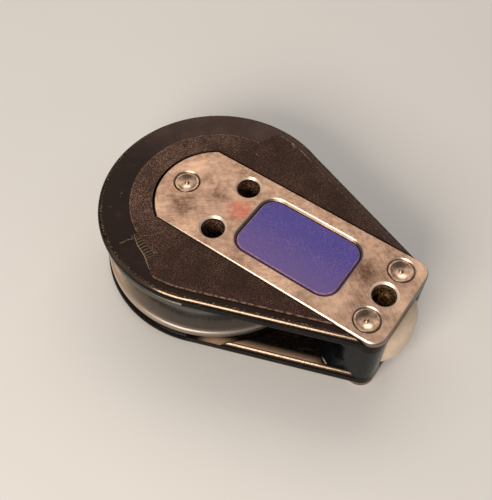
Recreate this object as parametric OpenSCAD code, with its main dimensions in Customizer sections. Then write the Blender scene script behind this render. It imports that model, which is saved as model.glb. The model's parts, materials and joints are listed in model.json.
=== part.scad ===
// Sailing foot block: a grooved sheave on two rows of balls, between two moulded
// cheeks that steel straps clamp together with three rivets.
// The block lies flat on its lower strap, at z = 0. The sheave turns about the
// Z axis through the origin, and the tail points along +X. Sizes are millimetres.

/* [Sheave] */
// Diameter over the flanges
sheave_d = 57; // [56.4:0.1:57.4]
// Width over the flanges
sheave_w = 14.3; // [14:0.1:14.5]
// Depth of the rope groove below the flanges
groove_depth = 6.6; // [6:0.1:6.8]
// Radius of the round bottom of the groove
groove_r = 4.5; // [4.2:0.1:4.7]
// Rounding of the flange rims towards the groove
flange_round = 0.9; // [0.5:0.1:1]

/* [Cheeks] */
// Radius of the round head
head_r = 29; // [28.8:0.1:29.6]
// Height of the block over both straps
block_h = 22.1; // [22:0.1:22.6]
// Thickness of a cheek at its raised middle
cheek_t = 4.6; // [4.5:0.1:4.8]
// Height of the raised middle above the smooth outer band
pad_step = 0.4; // [0.2:0.1:0.6]
// Radius of the raised middle round the head
pad_head_r = 21.2; // [20:0.1:22.5]
// Width of the smooth band beside the straight edges
pad_inset = 2.6; // [2:0.1:2.8]
// Rounding of the outer rim
rim_round = 1.2; // [1:0.1:1.4]
// Rounding of the rim on the sheave's side
inner_round = 1.4; // [0.8:0.1:1.4]
// Radius of the round pocket that the flange runs in
pocket_r = 30.2; // [29.6:0.1:32]
// Depth of that pocket
pocket_depth = 1.1; // [1:0.1:1.2]

/* [Straps] */
// Thickness of a strap
strap_t = 1.6; // [1.5:0.1:1.8]
// Width of a strap
strap_w = 25.3; // [24.5:0.1:26]
// Distance from the sheave's axis to the tail end of the straps
strap_end = 52.2; // [51.5:0.1:54]
// Radius of the round head end of a strap
strap_head_r = 15.4; // [15.2:0.1:17]
// Radius of the tail corners
corner_r = 3.5; // [3:0.1:4]
// Bevel along the outer edges of a strap
strap_bevel = 0.35; // [0.2:0.05:0.5]
// Gap between a strap and the pocket it lies in
strap_gap = 0.3; // [0.25:0.05:0.4]

/* [Badge] */
// Near and far end of the badge along the block
badge_x = [10, 37];
// Width of the badge
badge_w = 16.7; // [15:0.1:17.5]
// Corner radius of the badge
badge_r = 3.8; // [3:0.1:4.5]
// Depth of the badge's face below the strap's face
badge_sink = 0.35; // [0.2:0.05:0.6]
// Gap between the badge and its window
badge_gap = 0.2; // [0.15:0.05:0.3]
// Bevel round the window
window_bevel = 0.6; // [0.3:0.05:0.8]

/* [Fasteners] */
// Radius of the through bolt holes, for M5 bolts
bolt_hole_r = 2.75; // [2.6:0.05:2.9]
// Widening of those holes where they pass a strap
strap_hole_grow = 0.15; // [0.1:0.05:0.2]
// Bevel at the mouth of the bolt holes
bolt_bevel = 0.5; // [0.3:0.05:0.6]
// Radius of the circle that the two hub bolts stand on
hub_circle_r = 8.5; // [8.2:0.1:8.8]
// Distance from the sheave's axis to the hub rivet
hub_rivet_x = 9.2; // [8.8:0.1:9.6]
// Distance from the sheave's axis to the tail bolt
tail_bolt_x = 46.4; // [46:0.1:46.8]
// Distance of each tail rivet from the middle line
tail_rivet_y = 7.8; // [7.6:0.1:8]
// Radius of the rivet shanks
rivet_shank_r = 1.9; // [1.7:0.05:2]
// Radius of the rivet heads
rivet_head_r = 3; // [2.8:0.05:3.1]

/* [Bearing] */
// Diameter of the balls
ball_d = 4.76; // [4.5:0.02:4.8]
// Number of balls in each row
balls_per_row = 16; // [14:1:17]
// Radius of the circle that the ball centres stand on
ball_circle_r = 16.8; // [16.7:0.05:16.9]
// Distance of each ball row from the middle plane
row_z = 3.9; // [3.85:0.01:3.92]
// Clearance of a ball to the races
ball_clear = 0.07; // [0.04:0.01:0.1]

/* [Tail] */
// Front of the tail spacer
spacer_x = 42.5; // [42:0.1:42.7]
// Radius of the flared feet of the spacer
foot_r = 3.8; // [3:0.1:4.2]
// Distance that the rounded bush stands out past the straps
nose_out = 3; // [2:0.1:3.5]
// Radius of the bush's round nose
nose_r = 11; // [10:0.5:13]
// Rounding of the nose towards the straps
nose_round = 3.4; // [2.5:0.1:4]

/* [Hidden] */
$fn = 96;

// Overshoot of every cutter past the face that it cuts
over = 1;
mid_z = block_h / 2;
sheave_r = sheave_d / 2;
ball_r = ball_d / 2;

// Heights in the upper half: the cheek's inner face, the floor of its pocket,
// the smooth outer band, and the floor of the pocket for the strap
inner_z = block_h - cheek_t;
pocket_z = inner_z + pocket_depth;
band_z = block_h - pad_step;
strap_z = block_h - strap_t;
gap_h = 2 * (inner_z - mid_z);

// Each straight edge of the cheek touches the head circle and a tail corner circle
corner_x = strap_end - corner_r;
corner_y = strap_w / 2 - corner_r;
tangent_a = atan2(corner_y, corner_x) + acos((head_r - corner_r) / norm([corner_x, corner_y]));
tangent_dir = [cos(tangent_a), sin(tangent_a)];

// The straight edges lie this far inside the common tangent of the round ends, so
// that they cross those ends at a clear angle
edge_sink = 0.03;

// Extra rounding along a straight edge, and extra bevel round a strap's head end.
// With these, no more than three faces meet at the corner to the next stretch.
edge_round_more = 0.05;
head_bevel_more = 0.05;

// The shoulder where the raised middle widens from the head arc to the edges
shoulder_x = -1;
shoulder_r = 3;
pad_edge_r = head_r - pad_inset;

// The strap's side leaves its round head end here
strap_neck_x = -sqrt(pow(strap_head_r, 2) - pow(strap_w / 2, 2));

// Groove: a round bottom, then walls that flare a little towards the rims
groove_bottom_r = sheave_r - groove_depth;
groove_centre_r = groove_bottom_r + groove_r;
groove_wall_r = groove_centre_r - 1;
groove_wall_h = sqrt(pow(groove_r, 2) - 1);
groove_mouth_h = groove_wall_h + (sheave_r - groove_wall_r) * tan(7);

// Bearing: the sheave's rib between the rows, and the seat of each ball retainer
race_out_r = ball_circle_r + ball_r + ball_clear;
race_in_r = ball_circle_r - ball_r - ball_clear;
hub_r = race_in_r + 0.25;
rib_r = 18.5;
rib_h = 3;
retainer_seat_r = 20.6;
retainer_t = 0.75;
retainer_z = sheave_w / 2 - 0.8;
retainer_hole_r = 15.1;
cage_r = [15.5, 18.1];
cage_z = [0.2, 4.5];
cage_clear = 0.1;
hub_seat = 0.6;
fit_gap = 0.05;

// Rivets: a dished head in a round seat, flush with the strap
rivet_seat_depth = 1.1;
rivet_sink = 0.12;
rivet_bevel = 0.4;
lip_r = 0.25;
lip_w = 1.1;
bowl_depth = 0.4;
nipple_r = 0.6;
hub_rivet = [-hub_rivet_x, 0];
tail_rivets = [[tail_bolt_x, tail_rivet_y], [tail_bolt_x, -tail_rivet_y]];
rivet_places = concat([hub_rivet], tail_rivets);
hub_bolts = [for (s = [-1, 1]) hub_circle_r * [cos(60), s * sin(60)]];
tail_bolt = [tail_bolt_x, 0];
bolt_places = concat(hub_bolts, [tail_bolt]);

// Tail bush: a neck that the bolt goes through, and a head in the spacer's open end
bush_back_x = 44.6;
bush_neck_w = 8.4;
bush_head_x = 49.4;
bush_head_w = 15;
nose_x = strap_end + nose_out - nose_r;

// Colours as they look in daylight
black_plastic = [0.09, 0.08, 0.08];
steel = [0.72, 0.66, 0.6];
violet = [0.3, 0.27, 0.6];
grey_alloy = [0.55, 0.54, 0.52];
cream_nylon = [0.8, 0.78, 0.7];
pale_acetal = [0.88, 0.88, 0.85];

// Points along an arc, from angle a0 to a1, in n steps
function arc(centre, r, a0, a1, n = 12) =
    [for (i = [0 : n]) let (a = a0 + (a1 - a0) * i / n) centre + r * [cos(a), sin(a)]];

// A point mirrored in the X axis
function flipped(p) = [p[0], -p[1]];

// Sweeps a profile along a straight edge: profile x points outward, to the
// right of the way from p to q, and profile y points up
module sweep_line(p, q) {
    d = q - p;
    translate([p[0], p[1], 0])
        rotate(atan2(d[1], d[0]))
            rotate([90, 0, 90])
                linear_extrude(norm(d))
                    mirror([1, 0])
                        children();
}

// Sweeps a profile along an arc, with profile x = 0 on the arc
module sweep_arc(centre, r, a0, a1) {
    translate([centre[0], centre[1], 0])
        rotate(a0)
            rotate_extrude(angle = a1 - a0)
                translate([r, 0])
                    children();
}

// Sweeps a profile round a rectangle with round corners
module sweep_frame(lo, hi, r) {
    a = lo + [r, r];
    b = hi - [r, r];
    sweep_line([a[0], lo[1]], [b[0], lo[1]]) children();
    sweep_line([hi[0], a[1]], [hi[0], b[1]]) children();
    sweep_line([b[0], hi[1]], [a[0], hi[1]]) children();
    sweep_line([lo[0], b[1]], [lo[0], a[1]]) children();
    sweep_arc([b[0], a[1]], r, -90, 0) children();
    sweep_arc([b[0], b[1]], r, 0, 90) children();
    sweep_arc([a[0], b[1]], r, 90, 180) children();
    sweep_arc([a[0], a[1]], r, 180, 270) children();
}

// Takes the corner off a profile whose wall is at x = 0, with a round face that
// meets the wall and the top at a few degrees short of tangent
module corner_cut(top, r) {
    flat = 0.1 * r;
    translate([-r - flat, top - r - flat])
        difference() {
            square(r + flat + over);
            circle(norm([flat, r + flat]));
        }
}

// Profile of a slab of width w, from y0 to y1, with rounded outer corners
module slab(w, y0, y1, top_round = 0, low_round = 0) {
    difference() {
        translate([-w, y0]) square([w, y1 - y0]);
        if (top_round > 0) corner_cut(y1, top_round);
        if (low_round > 0) translate([0, y0]) mirror([0, 1]) corner_cut(0, low_round);
    }
}

// Block with round corners in plan and an optional rounding along its top edge
module round_block(lo, hi, r, z0, z1, top_round = 0) {
    sweep_frame(lo, hi, r) slab(r, z0, z1, top_round);
    translate([lo[0] + r, lo[1] + r, z0])
        cube([hi[0] - lo[0] - 2 * r, hi[1] - lo[1] - 2 * r, z1 - z0]);
}

// Profile that bevels an outer edge (side = -1) or the edge of a hole (side = 1)
module bevel_profile(size, top, side) {
    polygon([[side * (size + over), top + over],
             [-side * over, top + over],
             [-side * over, top - size - over]]);
}

// Repeats what is on the port side on the starboard side
module both_sides() {
    children();
    mirror([0, 1, 0]) children();
}

// Copies what is in the upper half down to the lower half
module lower() {
    translate([0, 0, block_h]) mirror([0, 0, 1]) children();
}

module drill(places, r, z0, z1) {
    for (p = places)
        translate([p[0], p[1], z0]) cylinder(r = r, h = z1 - z0);
}

// Teardrop plate of the cheek. Its round head is thinner by the pocket's depth.
module cheek_plate() {
    corner = [corner_x, corner_y];
    head_point = (head_r - edge_sink) * tangent_dir;
    tail_point = corner + (corner_r - edge_sink) * tangent_dir;
    past_end = over * [tangent_dir[1], -tangent_dir[0]];
    rotate_extrude()
        translate([head_r, 0])
            slab(head_r, pocket_z, band_z, rim_round, inner_round);
    difference() {
        translate([0, 0, inner_z])
            linear_extrude(band_z - inner_z)
                polygon([[0, 0], flipped(head_point), flipped(tail_point), flipped(corner),
                         corner, tail_point, head_point]);
        both_sides()
            sweep_line(tail_point + past_end, head_point - past_end) {
                corner_cut(band_z, rim_round + edge_round_more);
                translate([0, inner_z]) mirror([0, 1]) corner_cut(0, inner_round);
            }
    }
    both_sides()
        translate([corner_x, corner_y, inner_z]) cylinder(r = corner_r, h = band_z - inner_z);
    translate([tail_bolt_x, -corner_y, inner_z])
        cube([strap_end - tail_bolt_x, 2 * corner_y, band_z - inner_z]);
}

// Half of the outline of the cheek's raised middle, from the tail to the head. A
// round hollow leads from the head arc out to the lobe of the shoulder, and touches both.
function pad_half() =
    let (
        lobe_x = shoulder_x + shoulder_r,
        lobe = [lobe_x, sqrt(pow(pad_edge_r - shoulder_r, 2) - pow(lobe_x, 2))],
        lobe_a = atan2(lobe[1], lobe[0]),
        hollow_r = (pow(lobe[1], 2) - pow(pad_head_r, 2) + pow(shoulder_x, 2))
                   / (2 * (pad_head_r + shoulder_x)),
        hollow = [shoulder_x - hollow_r, lobe[1]],
        hollow_a = atan2(hollow[1], hollow[0])
    )
    concat(
        [[corner_x, corner_y] + (corner_r - pad_inset) * tangent_dir],
        arc([0, 0], pad_edge_r, tangent_a, lobe_a, 8),
        arc(lobe, shoulder_r, lobe_a, 180, 8),
        arc(hollow, hollow_r, 0, hollow_a - 180, 8),
        arc([0, 0], pad_head_r, hollow_a, 180, 30)
    );

module raised_pad() {
    half = pad_half();
    n = len(half);
    translate([0, 0, band_z - over])
        linear_extrude(block_h - band_z + over)
            polygon(concat(half, [for (i = [n - 2 : -1 : 0]) flipped(half[i])]));
}

// Plan of a strap, grown by g all round, from its head end to the corner circles
module strap_plan(g = 0) {
    intersection() {
        circle(strap_head_r + g);
        translate([-2 * strap_head_r, -strap_w / 2 - g])
            square([2 * strap_head_r, strap_w + 2 * g]);
    }
    translate([strap_neck_x / 2, -strap_w / 2 - g])
        square([corner_x - strap_neck_x / 2, strap_w + 2 * g]);
}

// Solid with the strap's outline, grown by g
module strap_solid(z0, z1, g = 0) {
    translate([0, 0, z0]) linear_extrude(z1 - z0) strap_plan(g);
    for (s = [-1, 1])
        sweep_arc([corner_x, s * corner_y], corner_r + g, min(0, 90 * s), max(0, 90 * s))
            slab(corner_r + g, z0, z1);
    translate([corner_x, -corner_y, z0])
        cube([corner_r + g, 2 * corner_y, z1 - z0]);
}

module cheek() {
    difference() {
        union() {
            cheek_plate();
            raised_pad();
        }
        translate([0, 0, inner_z - over])
            cylinder(r = pocket_r, h = pocket_depth + over);
        translate([0, 0, pocket_z - over])
            cylinder(r = hub_r + fit_gap, h = hub_seat + over);
        strap_solid(strap_z, block_h + over, strap_gap);
        drill(bolt_places, bolt_hole_r, inner_z - over, block_h);
        drill(rivet_places, rivet_shank_r + fit_gap, inner_z - over, block_h);
    }
}

module cheek_top() {
    color(black_plastic) cheek();
}

module cheek_bottom() {
    color(black_plastic) lower() cheek();
}

// Strap without its window: bevelled edges, bevelled bolt holes and rivet seats
module plain_strap() {
    half = strap_w / 2;
    neck_a = atan2(half, strap_neck_x);
    bolt_r = bolt_hole_r + strap_hole_grow;
    seat_r = rivet_head_r + fit_gap;
    difference() {
        strap_solid(strap_z, block_h);
        sweep_arc([0, 0], strap_head_r, neck_a - 4, 364 - neck_a)
            bevel_profile(strap_bevel + head_bevel_more, block_h, -1);
        sweep_line([corner_x, half], [strap_neck_x - over, half])
            bevel_profile(strap_bevel, block_h, -1);
        sweep_line([strap_neck_x - over, -half], [corner_x, -half])
            bevel_profile(strap_bevel, block_h, -1);
        sweep_line([strap_end, -corner_y], [strap_end, corner_y])
            bevel_profile(strap_bevel, block_h, -1);
        for (s = [-1, 1])
            sweep_arc([corner_x, s * corner_y], corner_r, min(0, 90 * s), max(0, 90 * s))
                bevel_profile(strap_bevel, block_h, -1);
        drill(bolt_places, bolt_r, strap_z - over, block_h + over);
        for (p = bolt_places)
            translate([p[0], p[1], block_h - bolt_bevel])
                cylinder(r1 = bolt_r, r2 = bolt_r + bolt_bevel + over, h = bolt_bevel + over);
        drill(rivet_places, rivet_shank_r + fit_gap, strap_z - over, block_h);
        drill(rivet_places, seat_r, block_h - rivet_seat_depth, block_h + over);
        for (p = rivet_places)
            translate([p[0], p[1], block_h - rivet_bevel])
                cylinder(r1 = seat_r, r2 = seat_r + rivet_bevel + over, h = rivet_bevel + over);
    }
}

module strap_top() {
    lo = [badge_x[0] - badge_gap, -badge_w / 2 - badge_gap];
    hi = [badge_x[1] + badge_gap, badge_w / 2 + badge_gap];
    r = badge_r + badge_gap;
    color(steel)
        difference() {
            plain_strap();
            round_block(lo, hi, r, strap_z - over, block_h + over);
            sweep_frame(lo, hi, r) bevel_profile(window_bevel, block_h, 1);
        }
}

module strap_bottom() {
    color(steel) lower() plain_strap();
}

// Bare badge that fills the window of the upper strap
module badge() {
    color(violet)
        round_block([badge_x[0], -badge_w / 2], [badge_x[1], badge_w / 2], badge_r,
                    strap_z, block_h - badge_sink, 0.5);
}

// Profile cut that rounds the upper flange towards the rope groove
module groove_mouth() {
    flat = 0.1 * flange_round;
    difference() {
        translate([sheave_r - flange_round, 0])
            square([flange_round + over, groove_mouth_h + flange_round]);
        translate([sheave_r - flange_round - flat, groove_mouth_h + flange_round + flat])
            circle(norm([flat, flange_round + flat]));
    }
}

module sheave_profile() {
    half = sheave_w / 2;
    difference() {
        translate([sheave_r, 0]) slab(sheave_r - rib_r, -half, half, 0.7, 0.7);
        translate([groove_centre_r, 0]) circle(groove_r);
        polygon([[groove_wall_r, -groove_wall_h],
                 [sheave_r + over, -groove_mouth_h - over * tan(7)],
                 [sheave_r + over, groove_mouth_h + over * tan(7)],
                 [groove_wall_r, groove_wall_h]]);
        both_sides() {
            groove_mouth();
            translate([0, rib_h / 2]) square([race_out_r, half]);
            translate([0, retainer_z]) square([retainer_seat_r, half]);
        }
    }
}

module sheave() {
    color(grey_alloy) translate([0, 0, mid_z]) rotate_extrude() sheave_profile();
}

// Ring snapped into the side of the sheave, which keeps a row of balls in
module ball_retainer() {
    outer_r = retainer_seat_r - fit_gap;
    color(black_plastic)
        translate([0, 0, mid_z])
            rotate_extrude()
                polygon([[retainer_hole_r, retainer_z],
                         [outer_r, retainer_z],
                         [outer_r, retainer_z + retainer_t - 0.2],
                         [outer_r - 0.2, retainer_z + retainer_t],
                         [retainer_hole_r + 0.2, retainer_z + retainer_t],
                         [retainer_hole_r, retainer_z + retainer_t - 0.2]]);
}

module ball_retainer_upper() {
    ball_retainer();
}

module ball_retainer_lower() {
    lower() ball_retainer();
}

// One row of balls, each a separate sphere
module ball_row(r = ball_r) {
    for (i = [0 : balls_per_row - 1])
        rotate(360 * i / balls_per_row)
            translate([ball_circle_r, 0, mid_z + row_z])
                sphere(r);
}

// Crown cage: a base ring with fingers that stand between the balls
module ball_cage() {
    color(pale_acetal)
        difference() {
            translate([0, 0, mid_z])
                rotate_extrude()
                    translate([cage_r[0], cage_z[0]])
                        square([cage_r[1] - cage_r[0], cage_z[1] - cage_z[0]]);
            ball_row(ball_r + cage_clear);
        }
}

module ball_cage_upper() {
    ball_cage();
}

module ball_cage_lower() {
    lower() ball_cage();
}

module balls_upper() {
    color(pale_acetal) ball_row();
}

module balls_lower() {
    color(pale_acetal) lower() ball_row();
}

// Fixed hub: the inner race of both ball rows, drilled for bolts and rivet
module hub() {
    half = pocket_z + hub_seat - mid_z;
    chamfer = 0.4;
    color(black_plastic)
        difference() {
            translate([0, 0, mid_z])
                rotate_extrude()
                    difference() {
                        polygon([[0, -half], [hub_r - chamfer, -half], [hub_r, chamfer - half],
                                 [hub_r, half - chamfer], [hub_r - chamfer, half], [0, half]]);
                        for (s = [-1, 1])
                            translate([ball_circle_r, s * row_z]) circle(ball_r + ball_clear);
                    }
            drill(hub_bolts, bolt_hole_r, 0, block_h);
            drill([hub_rivet], rivet_shank_r + fit_gap, 0, block_h);
        }
}

// Upper half of a rivet: shank, and a head hollowed like a bowl, with a round lip and
// a small nipple in its middle
module rivet_half() {
    top = block_h - rivet_sink;
    seat = block_h - rivet_seat_depth;
    bowl_w = rivet_head_r - lip_w;
    bowl_curve_r = (pow(bowl_w, 2) + pow(bowl_depth, 2)) / (2 * bowl_depth);
    rotate_extrude()
        polygon(concat(
            [[0, mid_z], [rivet_shank_r, mid_z], [rivet_shank_r, seat], [rivet_head_r, seat]],
            arc([rivet_head_r - lip_r, top - lip_r], lip_r, 0, 90, 6),
            arc([nipple_r, top - bowl_depth + bowl_curve_r], bowl_curve_r,
                asin(bowl_w / bowl_curve_r) - 90, -90, 9),
            arc([0, top - bowl_depth], nipple_r - 0.05, 10, 90, 7)
        ));
}

module rivets() {
    color(steel)
        for (p = rivet_places)
            translate([p[0], p[1], 0]) {
                rivet_half();
                lower() rivet_half();
            }
}

// Plan of the bush: a neck between the rivets and a wider head at the tail end
module bush_plan(g = 0) {
    reach = strap_end + nose_out + over;
    translate([bush_back_x - g, -bush_neck_w / 2 - g])
        square([reach - bush_back_x + g, bush_neck_w + 2 * g]);
    translate([bush_head_x - g, -bush_head_w / 2 - g])
        square([reach - bush_head_x + g, bush_head_w + 2 * g]);
}

// Profile of the hollow that flares the spacer into the cheeks
module foot_profile() {
    thin = 0.15;
    difference() {
        square(foot_r);
        translate([foot_r + thin, foot_r + thin]) circle(foot_r);
    }
}

// Flared foot along the spacer's front and sides, inside the cheek's rounded edge
module spacer_foot() {
    half = strap_w / 2;
    front = spacer_x + corner_r;
    edge = head_r - inner_round;
    far_y = (edge - tangent_dir[0] * corner_x) / tangent_dir[1];
    near_x = spacer_x - foot_r - over;
    near_y = (edge - tangent_dir[0] * near_x) / tangent_dir[1];
    intersection() {
        translate([0, 0, block_h - inner_z]) {
            sweep_line([spacer_x, corner_y], [spacer_x, -corner_y]) foot_profile();
            sweep_line([front, -half], [corner_x, -half]) foot_profile();
            sweep_line([corner_x, half], [front, half]) foot_profile();
            sweep_arc([front, corner_y], corner_r, 90, 180) foot_profile();
            sweep_arc([front, -corner_y], corner_r, 180, 270) foot_profile();
        }
        linear_extrude(mid_z)
            polygon([[near_x, -near_y], [corner_x, -far_y], [corner_x, far_y], [near_x, near_y]]);
    }
}

module tail_spacer() {
    lo = [spacer_x, -strap_w / 2];
    hi = [strap_end, strap_w / 2];
    low_z = block_h - inner_z;
    color(black_plastic)
        difference() {
            union() {
                round_block(lo, hi, corner_r, low_z, inner_z);
                spacer_foot();
                lower() spacer_foot();
            }
            translate([0, 0, low_z - over])
                linear_extrude(gap_h + 2 * over) bush_plan(fit_gap);
            drill([tail_bolt], bolt_hole_r, low_z - over, inner_z + over);
            drill(tail_rivets, rivet_shank_r + fit_gap, low_z - over, inner_z + over);
        }
}

// Rounded nose: the disc that the bush's head is cut from
module nose_disc() {
    half = gap_h / 2;
    translate([nose_x, 0, mid_z])
        rotate_extrude()
            translate([nose_r, 0]) slab(nose_r, -half, half, nose_round, nose_round);
}

module tail_bush() {
    low_z = block_h - inner_z;
    color(cream_nylon)
        difference() {
            intersection() {
                translate([0, 0, low_z]) linear_extrude(gap_h) bush_plan();
                nose_disc();
            }
            drill([tail_bolt], bolt_hole_r, 0, block_h);
        }
}

cheek_top();
cheek_bottom();
strap_top();
strap_bottom();
badge();
sheave();
ball_retainer_upper();
ball_retainer_lower();
ball_cage_upper();
ball_cage_lower();
balls_upper();
balls_lower();
hub();
rivets();
tail_spacer();
tail_bush();
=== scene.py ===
import json
import math

import bmesh
import bpy
from mathutils import Matrix, Vector


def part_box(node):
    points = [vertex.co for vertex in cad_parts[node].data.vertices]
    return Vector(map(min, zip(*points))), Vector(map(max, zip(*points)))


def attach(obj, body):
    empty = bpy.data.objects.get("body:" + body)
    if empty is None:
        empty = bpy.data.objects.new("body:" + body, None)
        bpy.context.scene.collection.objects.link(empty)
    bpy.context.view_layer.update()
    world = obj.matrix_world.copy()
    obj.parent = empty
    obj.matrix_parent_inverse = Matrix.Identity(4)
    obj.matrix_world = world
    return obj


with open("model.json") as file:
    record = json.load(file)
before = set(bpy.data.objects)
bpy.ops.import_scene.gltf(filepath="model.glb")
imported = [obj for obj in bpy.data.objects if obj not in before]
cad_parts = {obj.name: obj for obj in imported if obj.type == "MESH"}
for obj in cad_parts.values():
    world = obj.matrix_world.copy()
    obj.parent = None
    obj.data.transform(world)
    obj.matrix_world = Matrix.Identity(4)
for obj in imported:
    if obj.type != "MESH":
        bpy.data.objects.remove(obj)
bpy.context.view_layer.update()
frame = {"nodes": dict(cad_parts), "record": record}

# Radii of the cheeks' head, of the sheave and of the straps' head, the reach of the
# straps at the tail and to the side, and the radius of the cheeks' tail corners. All
# lengths are in metres where nothing else is said.
HEAD_R = -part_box("cheek_top")[0].x
SHEAVE_R = -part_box("sheave")[0].x
STRAP_HEAD_R = -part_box("strap_top")[0].x
STRAP_END, STRAP_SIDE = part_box("strap_top")[1].xy
CORNER_R = 0.0035

# The middle plane, the distance of a cheek's smooth band from it, and the height of
# the upper band. The raised middle stands one step over the band.
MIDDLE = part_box("strap_top")[1].z / 2
PAD_STEP = 0.0004
BAND_H = MIDDLE - PAD_STEP
BAND_Z = MIDDLE + BAND_H

# Direction in plan that a straight edge of the cheek faces. The edge touches the
# circle of the head and that of the tail's corner.
CORNER = Vector((STRAP_END - CORNER_R, STRAP_SIDE - CORNER_R))
EDGE_TURN = math.atan2(CORNER.y, CORNER.x) + math.acos((HEAD_R - CORNER_R) / CORNER.length)
EDGE_DIR = Vector((math.cos(EDGE_TURN), math.sin(EDGE_TURN)))

# Radii of the raised middle round the head and beside the straight edges, and the
# stretch along X in which it widens from the one to the other
PAD_HEAD_R = 0.0212
PAD_EDGE_R = HEAD_R - 0.0026
SHOULDER = (-0.0022, -0.0012)

# The bolt holes, as the record gives them: places in plan, and the radius
MOUNTS = {mount["name"]: mount for mount in frame["record"]["mounts"]}
HUB_HOLES = [MOUNTS[name]["pos_m"][:2] for name in ("hub_bolt_port", "hub_bolt_starboard")]
TAIL_HOLE = MOUNTS["tail_bolt"]["pos_m"][:2]
HOLE_R = MOUNTS["tail_bolt"]["dims"]["r_mm"] / 1000

# The rivets in plan
RIVETS = ((-0.0092, 0), (TAIL_HOLE[0], 0.0078), (TAIL_HOLE[0], -0.0078))


class Net:
    """The node graph of one material. A value is a number, a colour or a socket."""

    def __init__(self, name):
        self.material = bpy.data.materials.new(name)
        self.material.use_nodes = True
        self.tree = self.material.node_tree
        self.shader = self.tree.nodes["Principled BSDF"]
        self.place = self.node("ShaderNodeTexCoord").outputs["Object"]

    def node(self, kind, **settings):
        """New node of a kind, with its settings."""
        made = self.tree.nodes.new(kind)
        for key, value in settings.items():
            setattr(made, key, value)
        return made

    def put(self, value, socket):
        """Links the value to a socket if it is one itself, and else sets it there."""
        if isinstance(value, bpy.types.NodeSocket):
            self.tree.links.new(value, socket)
        elif isinstance(value, (tuple, list)) and len(value) == 3 and socket.type == "RGBA":
            socket.default_value = (*value, 1)
        else:
            socket.default_value = value

    def math(self, operation, a, b=0.0):
        """Outcome of an operation on one value or two."""
        made = self.node("ShaderNodeMath", operation=operation)
        self.put(a, made.inputs[0])
        self.put(b, made.inputs[1])
        return made.outputs[0]

    def chain(self, operation, values):
        """All values joined by one operation."""
        result = values[0]
        for value in values[1:]:
            result = self.math(operation, result, value)
        return result

    def product(self, *values):
        return self.chain("MULTIPLY", values)

    def total(self, *values):
        return self.chain("ADD", values)

    def most(self, *values):
        return self.chain("MAXIMUM", values)

    def inverse(self, value):
        """1 where the value is 0, and 0 where it is 1."""
        return self.math("SUBTRACT", 1.0, value)

    def gap(self, a, b):
        """How far two values are apart."""
        return self.math("ABSOLUTE", self.math("SUBTRACT", a, b))

    def span(self, value, lo, hi, out_lo=0.0, out_hi=1.0):
        """Runs smoothly from out_lo to out_hi while the value goes from lo to hi."""
        made = self.node("ShaderNodeMapRange", interpolation_type="SMOOTHSTEP")
        self.put(value, made.inputs["Value"])
        self.put(lo, made.inputs["From Min"])
        self.put(hi, made.inputs["From Max"])
        self.put(out_lo, made.inputs["To Min"])
        self.put(out_hi, made.inputs["To Max"])
        return made.outputs["Result"]

    def vector(self, a, b):
        """Vector of two values."""
        made = self.node("ShaderNodeCombineXYZ")
        self.put(a, made.inputs[0])
        self.put(b, made.inputs[1])
        return made.outputs[0]

    def mapped(self, scale, turn, shift):
        """Object coordinates, shifted, then turned about Z, then stretched."""
        moved = self.node("ShaderNodeMapping")
        self.put(self.place, moved.inputs["Vector"])
        moved.inputs["Location"].default_value = shift
        turned = self.node("ShaderNodeMapping")
        self.put(moved.outputs[0], turned.inputs["Vector"])
        turned.inputs["Rotation"].default_value = (0, 0, math.radians(turn))
        made = self.node("ShaderNodeMapping")
        self.put(turned.outputs[0], made.inputs["Vector"])
        made.inputs["Scale"].default_value = scale
        return made.outputs[0]

    def noise(self, size, detail=2.0, rough=0.5, vector=None):
        """Noise whose features are about size metres across (or units of vector)."""
        made = self.node("ShaderNodeTexNoise")
        self.put(self.place if vector is None else vector, made.inputs["Vector"])
        made.inputs["Scale"].default_value = 1 / size
        made.inputs["Detail"].default_value = detail
        made.inputs["Roughness"].default_value = rough
        return made.outputs[0]

    def streaks(self, width, length, turn, shift=(0, 0, 0)):
        """Noise drawn out along a direction turned from X by so many degrees."""
        vector = self.mapped((1 / length, 1 / width, 1 / width), -turn, shift)
        return self.noise(1.0, 2, 0.6, vector)

    def mottle(self, fine, patch, share):
        """Tone made of fine grain by its share, and of soft patches by the rest."""
        return self.total(self.span(fine, 0.35, 0.7, 0, share),
                          self.span(patch, 0.35, 0.7, 0, 1 - share))

    def mix(self, factor, a, b):
        """Colour between a and b."""
        made = self.node("ShaderNodeMix", data_type="RGBA")
        self.put(factor, made.inputs[0])
        self.put(a, made.inputs[6])
        self.put(b, made.inputs[7])
        return made.outputs[2]

    def blend(self, factor, a, b):
        """Number between a and b."""
        made = self.node("ShaderNodeMix")
        self.put(factor, made.inputs[0])
        self.put(a, made.inputs[2])
        self.put(b, made.inputs[3])
        return made.outputs[0]

    def axis(self, letter, vector=None):
        """X, Y or Z of the place in the shared frame, or of a vector."""
        parts = self.node("ShaderNodeSeparateXYZ")
        self.put(self.place if vector is None else vector, parts.inputs[0])
        return parts.outputs[letter]

    def height(self):
        """Distance from the block's middle plane."""
        return self.gap(self.axis("Z"), MIDDLE)

    def upper(self):
        """1 in the block's upper half, 0 in its lower half."""
        return self.span(self.axis("Z"), MIDDLE - 0.001, MIDDLE + 0.001)

    def level(self):
        """1 where a face lies level, 0 where it stands upright."""
        normal = self.node("ShaderNodeNewGeometry").outputs["Normal"]
        return self.math("ABSOLUTE", self.axis("Z", normal))

    def radius(self, centre=(0.0, 0.0)):
        """Distance in plan from a point."""
        x = self.math("SUBTRACT", self.axis("X"), centre[0])
        y = self.math("SUBTRACT", self.axis("Y"), centre[1])
        return self.math("SQRT", self.total(self.product(x, x), self.product(y, y)))

    def across(self):
        """Distance in plan from the sheave's axis towards the nearer straight edge."""
        side = self.math("ABSOLUTE", self.axis("Y"))
        return self.total(self.product(self.axis("X"), EDGE_DIR.x), self.product(side, EDGE_DIR.y))

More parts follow.
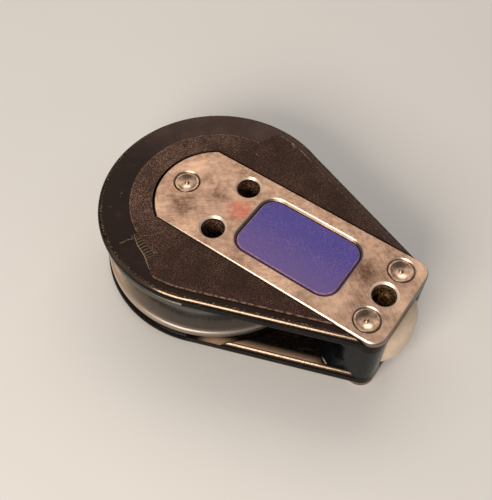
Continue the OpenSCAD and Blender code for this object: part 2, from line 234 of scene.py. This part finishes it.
    def hole(self, place, reach, soft=0.0002):
        """1 in a bolt hole, and 0 so far past its edge."""
        return self.span(self.radius(place), HOLE_R + reach, HOLE_R + reach - soft)

    def line(self, start, end, width):
        """1 on a stretch drawn in plan, in millimetres, and 0 past its width."""
        a = Vector((*start, 0)) / 1000
        b = Vector((*end, 0)) / 1000
        flat = self.node("ShaderNodeVectorMath", operation="MULTIPLY")
        self.put(self.place, flat.inputs[0])
        flat.inputs[1].default_value = (1, 1, 0)
        from_a = self.node("ShaderNodeVectorMath", operation="SUBTRACT")
        self.put(flat.outputs[0], from_a.inputs[0])
        from_a.inputs[1].default_value = a
        share = self.node("ShaderNodeVectorMath", operation="DOT_PRODUCT")
        self.put(from_a.outputs[0], share.inputs[0])
        share.inputs[1].default_value = (b - a) / (b - a).length_squared
        part = self.node("ShaderNodeMath", operation="ADD", use_clamp=True)
        self.put(share.outputs["Value"], part.inputs[0])
        part.inputs[1].default_value = 0
        foot = self.node("ShaderNodeVectorMath", operation="SCALE")
        foot.inputs[0].default_value = b - a
        self.put(part.outputs[0], foot.inputs["Scale"])
        apart = self.node("ShaderNodeVectorMath", operation="DISTANCE")
        self.put(from_a.outputs[0], apart.inputs[0])
        self.put(foot.outputs[0], apart.inputs[1])
        return self.span(apart.outputs["Value"], width / 2000, width / 4000)

    def bump(self, height, depth):
        """Normal of a surface that seems uneven, by the depth where the height is 1."""
        made = self.node("ShaderNodeBump")
        made.inputs["Strength"].default_value = 1.0
        made.inputs["Distance"].default_value = depth
        self.put(height, made.inputs["Height"])
        return made.outputs[0]

    def finish(self, **inputs):
        """Sets inputs of the shader, named in small letters, and returns the material."""
        for key, value in inputs.items():
            name = key.replace("_", " ").title().replace("Ior", "IOR")
            self.put(value, self.shader.inputs[name])
        return self.material


# Scratches on the upper cheek: both ends in plan and the width, all in millimetres
SCRATCHES = (
    ((-9.0, -20.64), (-9.99, -21.84), 0.22),
    ((-9.99, -21.84), (-10.27, -22.74), 0.20),
    ((-10.27, -22.74), (-10.8, -23.54), 0.16),
    ((-9.0, -20.64), (-10.01, -20.24), 0.16),
    ((-8.67, -20.19), (-7.33, -18.78), 0.14),
    ((-7.33, -18.78), (-5.56, -17.26), 0.12),
    ((-5.56, -17.26), (-4.43, -14.93), 0.10),
    ((-12.21, -13.29), (-10.38, -11.91), 0.10),
    ((-0.43, 17.25), (0.84, 17.34), 0.14),
    ((5.03, 25.48), (6.73, 24.89), 0.30),
    ((-26.3, -10.35), (-25.7, -10.6), 0.22),
    ((-20.24, -12.26), (-20.17, -11.59), 0.14),
    ((-20.01, -16.71), (-19.34, -16.68), 0.16),
    ((-19.71, -13.25), (-19.67, -12.84), 0.14),
    ((-0.85, 17.51), (-0.25, 17.45), 0.16),
    ((3.39, 19.89), (3.91, 19.76), 0.16),
)


def cheek_plastic():
    """Black moulded plastic: a speckled middle, a smooth band and rim, worn edges, with painted sheen
    and a painted highlight on the lower cheek's near inner edge.
    """
    net = Net("cheek_plastic")
    raised = net.span(net.height(), MIDDLE - 0.00007, MIDDLE - 0.00002)
    outer = net.span(net.height(), BAND_H - 0.0001, BAND_H - 0.00002)
    fine = net.noise(0.00014, 2, 0.6)
    polish = cheek_polish(net)
    lip_highlight = cheek_lip_highlight(net)
    colour = cheek_colour(net, raised, outer, fine)
    colour = worn_edges(net, colour, raised)
    colour = scratched(net, colour)
    colour = dirty_shaded_holes(net, colour)
    colour = net.mix(polish, colour, (0.165, 0.122, 0.090))
    # Painted highlight: pale, partly metallic colour along the near inner edge of the lower cheek
    colour = net.mix(lip_highlight, colour, (0.62, 0.42, 0.29))
    rough = net.blend(raised, net.blend(outer, 0.24, 0.32), 0.55)
    rough = net.total(rough, net.product(net.span(fine, 0.45, 0.75), 0.08), net.product(polish, -0.10))
    grain = net.product(net.noise(0.00026, 3, 0.6), net.blend(raised, 0.12, 1.0))
    return net.finish(base_color=colour, metallic=net.most(polish, net.product(lip_highlight, 0.35)),
                      roughness=rough, normal=net.bump(grain, 0.00005), specular_ior_level=0.06)


def cheek_colour(net, raised, outer, fine):
    """Speckled middle, painted lighter towards the head as a sheen, a band with a painted sheen on its
    far side, and a near-black rim.
    """
    patch = net.noise(0.006, 3, 0.55)
    head_sheen = net.span(net.axis("X"), 0.004, -0.020, 0.50, 1.50)
    speck = net.span(net.noise(0.00021, 2, 0.7), 0.46, 0.66)
    # Pale specks, painted lighter towards the head as a sheen
    dust = net.product(speck, head_sheen, net.span(patch, 0.32, 0.68, 0.45, 1.0))
    middle = net.mix(dust, (0.028, 0.0145, 0.0108), (0.29, 0.172, 0.132))
    # Painted sheen on the band, stronger on the far side
    sheen = net.product(net.span(fine, 0.38, 0.78, 0.2, 0.85), net.span(patch, 0.35, 0.7, 0.62, 1.0),
                        net.span(net.axis("Y"), -0.004, 0.016, 0.15, 1.0))
    band = net.mix(sheen, (0.013, 0.0070, 0.0056), (0.195, 0.122, 0.105))
    fleck = net.span(net.noise(0.0003, 2, 0.6), 0.62, 0.70)
    rim = net.mix(fleck, (0.0045, 0.0035, 0.003), (0.05, 0.03, 0.02))
    return net.mix(raised, net.mix(outer, rim, band), middle)


def step_wear(net, raised):
    """1 on the step up to the raised middle, but not on the walls of the strap's pocket."""
    side = net.math("ABSOLUTE", net.axis("Y"))
    past_side = net.span(side, STRAP_SIDE + 0.0004, STRAP_SIDE + 0.00065)
    past_head = net.product(net.span(net.radius(), STRAP_HEAD_R + 0.0008, STRAP_HEAD_R + 0.0012),
                            net.span(net.axis("X"), 0.001, -0.001))
    return net.product(net.span(net.height(), BAND_H + 0.00002, BAND_H + 0.00008),
                       net.inverse(raised), net.most(past_side, past_head))


def edge_wear(net, raised):
    """How worn the edge of the raised middle is: less round the head and on the far side."""
    x = net.axis("X")
    straight_x = PAD_EDGE_R * EDGE_DIR.x
    straight = net.span(x, straight_x - 0.0001, straight_x + 0.0001)
    reach = net.blend(straight, net.radius(), net.across())
    wide = net.span(x, *SHOULDER)
    from_edge = net.gap(reach, net.blend(wide, PAD_HEAD_R, PAD_EDGE_R))
    far = net.product(net.span(net.axis("Y"), 0, 0.004), net.span(x, 0.009, 0.013))
    return net.product(net.span(from_edge, 0.00034, 0.00014), raised, net.blend(wide, 0.5, 0.9),
                       net.blend(far, 1.0, 0.3))


def knocked_specks(net):
    """1 on specks knocked out of the edge where the band turns into the rim."""
    level = net.level()
    turn = net.product(net.span(level, 0.999, 0.985), net.span(level, 0.70, 0.93),
                       net.span(net.height(), BAND_H - 0.00115, BAND_H - 0.00075))
    return net.product(turn, net.span(net.noise(0.00035, 2, 0.6), 0.55, 0.65))


def worn_edges(net, colour, raised):
    """Pale wear on the edges of the raised middle and of the band."""
    broken = net.span(net.noise(0.0007, 2, 0.7), 0.40, 0.60)
    worn = net.mix(broken, (0.07, 0.04, 0.03), (0.34, 0.22, 0.155))
    colour = net.mix(net.product(step_wear(net, raised), 0.9), colour, worn)
    colour = net.mix(edge_wear(net, raised), colour, worn)
    return net.mix(net.product(knocked_specks(net), 0.8), colour, (0.30, 0.19, 0.13))


def scratched(net, colour):
    """Scratches on the upper cheek, and faint hairlines all over."""
    marks = net.most(*[net.line(*scratch) for scratch in SCRATCHES])
    marks = net.product(marks, net.span(net.axis("Z"), BAND_Z - 0.0002, BAND_Z - 0.0001),
                        net.span(net.noise(0.0003, 2, 0.6), 0.36, 0.56))
    colour = net.mix(net.product(marks, 0.8), colour, (0.36, 0.26, 0.19))
    hair = net.product(net.span(net.streaks(0.00013, 0.005, 25), 0.64, 0.72),
                       net.span(net.noise(0.006, 1), 0.46, 0.58))
    return net.mix(net.product(hair, 0.4), colour, (0.22, 0.14, 0.10))


def dirty_shaded_holes(net, colour):
    """Dirt in the bolt holes: reddish at the hub; at the tail golden deep in and dark towards the
    mouth, dirt together with painted shade.
    """
    past = 0.00065
    dirt = net.span(net.noise(0.0005, 3, 0.7), 0.42, 0.62)
    reddish = net.mix(dirt, (0.008, 0.005, 0.004), (0.20, 0.10, 0.065))
    colour = net.mix(net.most(*[net.hole(place, past) for place in HUB_HOLES]), colour, reddish)
    # Painted shade: at the tail the dirt darkens towards the mouth of the hole
    dirt = net.product(dirt, net.span(net.height(), 0.0084, 0.0062, 0.12, 1.0))
    golden = net.mix(dirt, (0.016, 0.009, 0.005), (0.95, 0.56, 0.24))
    return net.mix(net.hole(TAIL_HOLE, past), colour, golden)


def cheek_polish(net):
    """1 on the rounded near edges, rubbed to a shine where the line and the hands pass."""
    x = net.axis("X")
    level = net.level()
    along = net.blend(net.upper(), net.span(x, 0.0125, 0.0150), net.span(x, -0.016, -0.005))
    near = net.span(net.axis("Y"), 0.004, -0.006, 0.15, 1.0)
    return net.product(net.span(level, 0.95, 0.88), net.span(level, 0.48, 0.62), along, near,
                       net.span(net.noise(0.0005, 2, 0.7), 0.36, 0.58, 0.8, 1.0))


def cheek_lip_highlight(net):
    """1 along the near edge of the lower cheek's inner face, where a pale highlight is painted."""
    x = net.axis("X")
    return net.product(net.span(net.across(), HEAD_R - 0.0030, HEAD_R - 0.0003),
                       net.span(x, 0.012, 0.017), net.span(x, 0.042, 0.038),
                       net.span(net.axis("Y"), 0.0, -0.004), net.span(net.level(), 0.9, 0.97),
                       net.span(net.height(), 0.0090, 0.0080), net.inverse(net.upper()),
                       net.span(net.streaks(0.00012, 0.0014, -110), 0.3, 0.6, 0.78, 1.0))


# Painted light and dark patches on the straps, partly sheen and reflections and partly mottling: place
# in plan, radius, and how much lighter
STRAP_SHEEN_PATCHES = (
    ((0.0507, -0.0009), 0.0060, 0.45),
    ((0.0502, 0.0106), 0.0070, 0.35),
    ((0.0523, -0.0105), 0.0060, 0.45),
    ((0.0389, -0.0096), 0.0070, 0.30),
    ((-0.0098, 0.0049), 0.0050, 0.30),
    ((-0.0001, -0.0109), 0.0050, 0.30),
    ((-0.0098, -0.0098), 0.0050, 0.22),
    ((0.0240, -0.0112), 0.0100, 0.35),
    ((0.0405, 0.0030), 0.0068, -0.36),
    ((-0.0059, -0.0066), 0.0050, -0.28),
    ((-0.0007, 0.0005), 0.0040, -0.28),
)
RED_REFLECTION_PLACE = (0.0066, 0.0005)


def strap_steel():
    """Satin steel, rubbed by hand: mottled, with fine hairlines, painted patches of sheen, painted
    bevel highlights and a faint painted red reflection.
    """
    net = Net("strap_steel")
    cloud = net.span(net.noise(0.0045, 3, 0.55), 0.36, 0.64)
    grain = net.span(net.noise(0.0002, 2, 0.6), 0.3, 0.7)
    hair = strap_hairlines(net)
    slant = net.span(net.level(), 0.995, 0.97)
    holes = [net.hole(place, 0.00095) for place in (*HUB_HOLES, TAIL_HOLE)]
    hole = net.product(net.most(*holes), slant)
    colour = strap_colour(net, cloud, grain, hair)
    colour = strap_bevels(net, colour, slant, hole)

    # The mouths of the bolt holes are less metallic, so the highlight painted on their bevels shows
    # brightly
    mouth = net.product(hole, net.span(net.height(), MIDDLE - 0.00055, MIDDLE - 0.00035))
    rough = net.total(net.span(cloud, 0, 1, 0.28, 0.38), net.product(hair, 0.06))
    normal = net.bump(net.total(hair, net.product(grain, 0.6)), 0.000008)
    return net.finish(base_color=colour, metallic=net.blend(mouth, 1.0, 0.45), roughness=rough,
                      normal=normal)


def strap_hairlines(net):
    """Fine hairlines, which run another way at the tail."""
    at_tail = net.span(net.axis("X"), 0.026, 0.040)
    hair = net.blend(at_tail, net.streaks(0.00011, 0.0045, 34),
                     net.streaks(0.00012, 0.0045, -36, shift=(0.01, 0, 0)))
    return net.span(hair, 0.3, 0.7)


def strap_colour(net, cloud, grain, hair):
    """Mottled steel with painted light and dark patches, partly sheen and reflections, and a painted
    red reflection.
    """
    blotch = net.span(net.noise(0.0012, 3, 0.6), 0.34, 0.66)
    tone = net.total(net.product(cloud, 0.30), net.product(blotch, 0.22), net.product(hair, 0.30),
                     net.product(grain, 0.12))
    for place, size, share in STRAP_SHEEN_PATCHES:
        tone = net.total(tone, net.product(net.span(net.radius(place), size, 0.0), share))
    colour = net.mix(tone, (0.115, 0.064, 0.044), (0.68, 0.465, 0.350))
    # Painted red reflection: a soft red patch between the holes
    red_reflection = net.product(net.span(net.radius(RED_REFLECTION_PLACE), 0.0046, 0.0004), 0.75,
                        net.span(net.noise(0.001, 2), 0.3, 0.7, 0.4, 1.0))
    return net.mix(red_reflection, colour, (0.50, 0.09, 0.06))


def strap_bevels(net, colour, slant, hole):
    """Bevels painted bright as a highlight, less towards the head, and darker low down, but not in the
    holes.
    """
    # Painted highlight on all bevels, brightest towards the tail
    bevel_highlight = net.product(slant, net.span(net.axis("X"), -0.012, 0.014, 0.4, 1.0))
    colour = net.mix(bevel_highlight, colour, (0.94, 0.77, 0.64))
    low = net.product(net.span(net.height(), MIDDLE - 0.00011, MIDDLE - 0.00027), slant,
                      net.inverse(hole))
    return net.mix(net.product(low, 0.85), colour, (0.14, 0.085, 0.060))


def rivet_steel():
    """Formed rivet steel: each dish painted with a highlight on its near side and shade on its far
    side.
    """
    net = Net("rivet_steel")
    cloud = net.noise(0.0011, 2, 0.6)
    fine = net.noise(0.00022, 2, 0.6)
    colour = net.mix(net.span(cloud, 0.3, 0.7), (0.30, 0.20, 0.145), (0.60, 0.42, 0.32))
    for x, y in RIVETS:
        # Painted highlight on the near side of each dish and painted shade on its far side
        dish_highlight = net.span(net.radius((x + 0.0009, y - 0.0012)), 0.0013, 0.0005)
        dish_shade = net.span(net.radius((x - 0.0012, y + 0.0013)), 0.0016, 0.0004)
        colour = net.mix(dish_highlight, colour, (0.98, 0.84, 0.70))
        colour = net.mix(net.product(dish_shade, 0.75), colour, (0.13, 0.085, 0.06))

    # Dark where the heads sit in the straps
    seat = net.span(net.height(), MIDDLE - 0.00095, MIDDLE - 0.00045)
    colour = net.mix(seat, (0.12, 0.075, 0.05), colour)
    return net.finish(base_color=colour, metallic=1.0, roughness=net.span(fine, 0.3, 0.7, 0.34, 0.44),
                      normal=net.bump(fine, 0.000012))


def badge_plastic():
    """Violet moulded plastic with a fine grain, rubbed lightly, painted lighter on its near side as a
    sheen, and with a painted highlight along its edge.
    """
    net = Net("badge_plastic")
    cloud = net.noise(0.004, 2, 0.6)
    fine = net.noise(0.00024, 2, 0.7)
    # Painted sheen: lighter and greyer on the near side
    near = net.span(net.axis("Y"), 0.006, -0.008)
    colour = net.mix(near, (0.067, 0.052, 0.32), (0.132, 0.088, 0.31))
    rub = net.product(net.span(fine, 0.5, 0.66), net.span(cloud, 0.35, 0.7, 0.2, 0.8))
    colour = net.mix(rub, colour, (0.26, 0.18, 0.40))
    # Painted highlight along the rounded edge
    edge = net.product(net.span(net.level(), 0.985, 0.9),
                       net.span(net.noise(0.0006, 2), 0.4, 0.6, 0.3, 0.8))
    colour = net.mix(edge, colour, (0.42, 0.24, 0.33))
    return net.finish(base_color=colour, roughness=net.span(cloud, 0.3, 0.7, 0.42, 0.56),
                      normal=net.bump(fine, 0.00003), specular_ior_level=0.3)


def sheave_alloy():
    """Grey alloy with turning lines: painted dark in the groove as shade, polished by the line on its
    walls, which carry painted light.
    """
    net = Net("sheave_alloy")
    rings = net.vector(net.radius(), net.axis("Z"))
    turning = net.span(net.noise(0.00016, 3, 0.7, rings), 0.3, 0.7)
    broad = net.noise(0.0011, 2, 0.5, rings)
    turn = net.math("ARCTAN2", net.axis("Y"), net.axis("X"))
    spokes = net.vector(turn, net.product(net.height(), 12.0))
    spoke = net.span(net.noise(0.006, 3, 0.6, spokes), 0.35, 0.65)
    cloud = net.noise(0.006, 2, 0.5)
    tone = net.total(net.product(turning, 0.35), net.product(broad, 0.45), net.product(spoke, 0.2))
    # Painted shade: dark in the groove
    shaded_groove = net.mix(tone, (0.010, 0.0095, 0.0095), (0.038, 0.036, 0.035))

    # Painted light: the walls are painted brightest round the head as a reflection, and the upper
    # flange darker as shade
    bright = net.mix(net.span(net.axis("X"), 0.012, -0.022), (0.42, 0.37, 0.33), (0.92, 0.71, 0.53))
    bright = net.mix(tone, net.mix(0.5, bright, (0, 0, 0)), bright)
    flange = net.span(net.axis("Z"), MIDDLE + 0.003, MIDDLE + 0.004)
    bright = net.mix(flange, bright, net.mix(tone, (0.04, 0.038, 0.034), (0.15, 0.14, 0.125)))

    reach = net.total(net.radius(), net.span(spoke, 0, 1, -0.0002, 0.0002))
    wall = net.span(reach, SHEAVE_R - 0.0043, SHEAVE_R - 0.0014)
    rough = net.total(net.span(cloud, 0.3, 0.7, 0.32, 0.40), net.product(turning, 0.05))
    normal = net.bump(net.total(turning, net.product(spoke, 0.4)), 0.000010)
    return net.finish(base_color=net.mix(wall, shaded_groove, bright), metallic=net.blend(wall, 0.35, 0.75),
                      roughness=rough, normal=normal)


def plain_plastic(name, dark, pale, rough, grain, depth):
    """Moulded plastic with a fine grain and soft patches."""
    net = Net(name)
    fine = net.noise(grain, 3, 0.6)
    patch = net.noise(0.003, 2, 0.5)
    colour = net.mix(net.mottle(fine, patch, 0.5), dark, pale)
    return net.finish(base_color=colour, roughness=net.span(patch, 0.3, 0.7, *rough),
                      normal=net.bump(fine, depth))


# Painted highlight along the near edge of the spacer's lower foot, given as the scratches are
FOOT_HIGHLIGHT = ((40.25, -13.15), (43.5, -15.0), 0.42)


def spacer_plastic():
    """Glossy black plastic, faintly bluish as a painted reflection, with a painted highlight on the
    near edge of its lower foot.
    """
    net = Net("spacer_plastic")
    fine = net.noise(0.0003, 3, 0.6)
    patch = net.noise(0.003, 2, 0.5)
    # Faint bluish tint, a painted reflection
    colour = net.mix(net.mottle(fine, patch, 0.5), (0.0035, 0.0044, 0.0050), (0.007, 0.0090, 0.0100))
    # Painted highlight on the near edge of the lower foot
    rubbed = net.product(net.line(*FOOT_HIGHLIGHT), net.span(net.axis("Z"), MIDDLE, MIDDLE - 0.001),
                         net.span(net.axis("X"), 0.0400, 0.0412, 0.15, 1.0),
                         net.span(net.noise(0.0003, 2, 0.6), 0.36, 0.56, 0.35, 1.0))
    colour = net.mix(rubbed, colour, (0.60, 0.42, 0.32))
    return net.finish(base_color=colour, roughness=net.span(patch, 0.3, 0.7, 0.18, 0.26),
                      normal=net.bump(fine, 0.00001), specular_ior_level=0.14)


def hub_plastic():
    """Rough black plastic with reddish-brown dust."""
    net = Net("hub_plastic")
    speck = net.span(net.noise(0.0005, 3, 0.7), 0.48, 0.62)
    colour = net.mix(speck, (0.012, 0.007, 0.005), (0.42, 0.22, 0.14))
    return net.finish(base_color=colour, roughness=0.6, normal=net.bump(speck, 0.0001))


def bush_nylon():
    """Off-white nylon, greyed in patches, and brown in the bolt hole, dirt together with painted
    shade.
    """
    net = Net("bush_nylon")
    fine = net.noise(0.0003, 3, 0.6)
    patch = net.noise(0.002, 2, 0.5)
    colour = net.mix(net.mottle(fine, patch, 0.3), (0.70, 0.54, 0.41), (0.80, 0.65, 0.52))
    # Dirt together with painted shade in the bolt hole
    dirt = net.span(net.noise(0.0004, 3, 0.7), 0.42, 0.62)
    stain_and_shade = net.mix(dirt, (0.12, 0.06, 0.024), (1.0, 0.66, 0.30))
    colour = net.mix(net.hole(TAIL_HOLE, 0.00035, 0.0003), colour, stain_and_shade)
    return net.finish(base_color=colour, roughness=net.span(patch, 0.3, 0.7, 0.42, 0.56),
                      normal=net.bump(fine, 0.00002))


def finish_nodes():
    """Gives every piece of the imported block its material."""
    steel = strap_steel()
    black = cheek_plastic()
    off_white = plain_plastic("acetal", (0.62, 0.6, 0.55), (0.8, 0.79, 0.75), (0.3, 0.4),
                              0.0004, 0.00001)
    satin = plain_plastic("retainer_plastic", (0.012, 0.011, 0.01), (0.03, 0.027, 0.025), (0.3, 0.42),
                          0.0002, 0.00003)
    finishes = {
        "cheek_top": black,
        "cheek_bottom": black,
        "strap_top": steel,
        "strap_bottom": steel,
        "rivets": rivet_steel(),
        "badge": badge_plastic(),
        "sheave": sheave_alloy(),
        "ball_retainer_upper": satin,
        "ball_retainer_lower": satin,
        "ball_cage_upper": off_white,
        "ball_cage_lower": off_white,
        "balls_upper": off_white,
        "balls_lower": off_white,
        "hub": hub_plastic(),
        "tail_spacer": spacer_plastic(),
        "tail_bush": bush_nylon(),
    }
    for node, material in finishes.items():
        shown = frame["nodes"][node]
        shown.data.materials.clear()
        shown.data.materials.append(material)


finish_nodes()


def finished_mesh(name, shape, material):
    """Mesh of one material from a bmesh, which is given up."""
    mesh = bpy.data.meshes.new(name)
    shape.to_mesh(mesh)
    shape.free()
    mesh.materials.append(material)
    return mesh


def new_object(name, data):
    """Object of the scene that shows a mesh, a lamp or a camera."""
    made = bpy.data.objects.new(name, data)
    bpy.context.scene.collection.objects.link(made)
    return made


# The scuffed strip on the near shoulder, where the raised middle widens: both of its
# borders in plan millimetres, the outer one on the band and the inner one under the
# edge of the raised middle
SCUFF_OUTER = [(-9.85, -19.66), (-8.62, -20.65), (-7.22, -21.67), (-5.49, -22.43), (-4.03, -23.06),
               (-2.81, -23.88), (-1.16, -24.91), (0.7, -25.7)]
SCUFF_INNER = [(-9.45, -18.75), (-7.9, -19.45), (-6.2, -20.05), (-4.4, -20.55), (-3.0, -20.85),
               (-1.75, -21.55), (-0.95, -23.0), (0.75, -25.4)]
# Its ribs, the rows of faces for each, and the faces across
RIBS = 16
RIB_STEPS = 12
SCUFF_ACROSS = 10
# Heights over the band in millimetres: the top of the ramp, just over the raised
# middle, the ribs over the ramp, and the outer border, just sunk into the band
SCUFF_RISE = 0.42
RIB_RISE = 0.14
BORDER_RISE = -0.03
# How pale the borders are, by their place across the strip
BORDER_WEAR = {0: 0.8, 1: 0.8, SCUFF_ACROSS: 0.25}


def along_path(points, share):
    """Point at a share of the length of a path in plan."""
    lengths = [math.dist(p, q) for p, q in zip(points, points[1:])]
    left = share * sum(lengths)
    for p, q, length in zip(points, points[1:], lengths):
        if left <= length:
            return Vector(p).lerp(Vector(q), left / length)
        left -= length
    return Vector(points[-1])


def rib_crest(share):
    """How high and worn the ribs are at a share of the strip, fading at both ends."""
    fade = min(1.0, 10 * share, max(0.12, 3 * (0.92 - share)))
    uneven = 0.78 + 0.22 * math.sin(41 * share)
    turns = RIBS * share + 0.3 * math.sin(9 * share)
    ridge = max(0.0, math.cos(2 * math.pi * turns)) ** 6
    return fade * uneven * ridge


def scuff_row(share):
    """Points across the strip at a share of its length, each with how worn it is."""
    outer = along_path(SCUFF_OUTER, share)
    inner = along_path(SCUFF_INNER, share)
    crest = rib_crest(share)
    row = []
    for k in range(SCUFF_ACROSS + 1):
        t = k / SCUFF_ACROSS
        place = outer.lerp(inner, t)
        bulge = math.sin(math.pi * t)
        ramp = 1.5 * SCUFF_RISE * (3 * t ** 2 - 2 * t ** 3)
        rise = min(SCUFF_RISE, ramp + RIB_RISE * crest * bulge) if k else BORDER_RISE
        point = (place.x / 1000, place.y / 1000, BAND_Z + rise / 1000)
        row.append((point, max(BORDER_WEAR.get(k, 0.0), crest * bulge ** 0.5)))
    return row


def add_scuff(material):
    """Ramp with ribs that the wear has chewed into the step of the upper cheek."""
    steps = RIBS * RIB_STEPS
    strip = [scuff_row(i / steps) for i in range(steps + 1)]
    shape = bmesh.new()
    rows = [[shape.verts.new(point) for point, _ in row] for row in strip]
    for low, high in zip(rows, rows[1:]):
        for k in range(SCUFF_ACROSS):
            shape.faces.new((low[k], high[k], high[k + 1], low[k + 1]))
    bmesh.ops.recalc_face_normals(shape, faces=shape.faces)
    mesh = finished_mesh("shoulder_scuff", shape, material)
    wear = [worn for row in strip for _, worn in row]
    mesh.attributes.new("wear", "FLOAT", "POINT").data.foreach_set("value", wear)
    for face in mesh.polygons:
        face.use_smooth = True
    scuff = new_object("shoulder_scuff", mesh)
    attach(scuff, "frame")


def scuff_plastic():
    """Chewed black plastic, pale where the mesh's wear attribute says so."""
    net = Net("scuff_plastic")
    wear = net.node("ShaderNodeAttribute", attribute_name="wear").outputs["Fac"]
    speck = net.span(net.noise(0.00025, 2, 0.7), 0.34, 0.58)
    pale = net.total(net.product(wear, net.blend(speck, 0.45, 1.0)), net.product(speck, 0.06))
    colour = net.mix(net.product(pale, 0.9), (0.010, 0.0055, 0.004), (0.42, 0.28, 0.195))
    return net.finish(base_color=colour, roughness=0.45, normal=net.bump(speck, 0.00003),
                      specular_ior_level=0.1)


add_scuff(scuff_plastic())


# Half the width of the floor
FLOOR_REACH = 3.0
# The point that the lamps face, near the middle of the block
AIM = Vector((0.012, 0, 0.01))
# Colour of both lamps
WARM = (1.0, 0.87, 0.73)
# Grey of the surroundings
SURROUND = (0.25, 0.25, 0.25)


def floor_grey():
    """Pale grey with hardly visible clouds."""
    net = Net("floor")
    colour = net.mix(net.noise(0.05, 2, 0.5), (0.78, 0.78, 0.78), (0.82, 0.82, 0.82))
    return net.finish(base_color=colour, roughness=0.7)


def add_floor(material):
    """Plain level floor."""
    shape = bmesh.new()
    bmesh.ops.create_grid(shape, x_segments=4, y_segments=4, size=FLOOR_REACH)
    floor = new_object("floor", finished_mesh("floor", shape, material))


def add_lamp(name, towards, distance, size, power):
    """Soft rectangular lamp that stands in a direction from the block and faces it."""
    lamp = bpy.data.lights.new(name, "AREA")
    lamp.shape = "RECTANGLE"
    lamp.size, lamp.size_y = size
    lamp.energy = power
    lamp.color = WARM
    shown = new_object(name, lamp)
    shown.location = AIM + Vector(towards).normalized() * distance
    shown.rotation_mode = "QUATERNION"
    shown.rotation_quaternion = (AIM - shown.location).to_track_quat("-Z", "Y")


def add_world():
    """Even grey light from all around."""
    world = bpy.data.worlds.new("studio")
    world.use_nodes = True
    back = world.node_tree.nodes["Background"]
    back.inputs["Color"].default_value = (*SURROUND, 1)
    back.inputs["Strength"].default_value = 1.0
    bpy.context.scene.world = world


add_floor(floor_grey())
add_lamp("key", (0.08, -0.84, 0.54), 0.5, (0.30, 0.22), 2.05)
add_lamp("back", (-0.402, 0.534, 0.743), 0.6, (0.75, 0.32), 1.43)
add_world()


# Where the camera stands, which way it turns from +Y, how far down it looks and how
# far it is rolled, all fitted to the photograph, and its lens in millimetres
CAM_PLACE = Vector((0.067169, -0.084485, 0.159648))
CAM_TURN = math.radians(34.648)
CAM_TILT = math.radians(56.010)
CAM_ROLL = math.radians(-0.736)
CAM_LENS = 51.625


def add_camera():
    """Camera that stands and looks as given above, and becomes the scene's own."""
    ahead = Vector((-math.sin(CAM_TURN) * math.cos(CAM_TILT),
                    math.cos(CAM_TURN) * math.cos(CAM_TILT), -math.sin(CAM_TILT)))
    level = Vector((math.cos(CAM_TURN), math.sin(CAM_TURN), 0))
    steep = level.cross(ahead)
    up = steep * math.cos(CAM_ROLL) + level * math.sin(CAM_ROLL)
    right = level * math.cos(CAM_ROLL) - steep * math.sin(CAM_ROLL)
    data = bpy.data.cameras.new("camera")
    data.lens = CAM_LENS
    data.sensor_width = 36
    data.clip_start = 0.005
    data.clip_end = 20
    camera = new_object("camera", data)
    axes = Matrix((right, up, -ahead)).transposed().to_4x4()
    camera.matrix_world = Matrix.Translation(CAM_PLACE) @ axes
    bpy.context.scene.camera = camera


add_camera()
bpy.context.scene.view_settings.view_transform = "Standard"
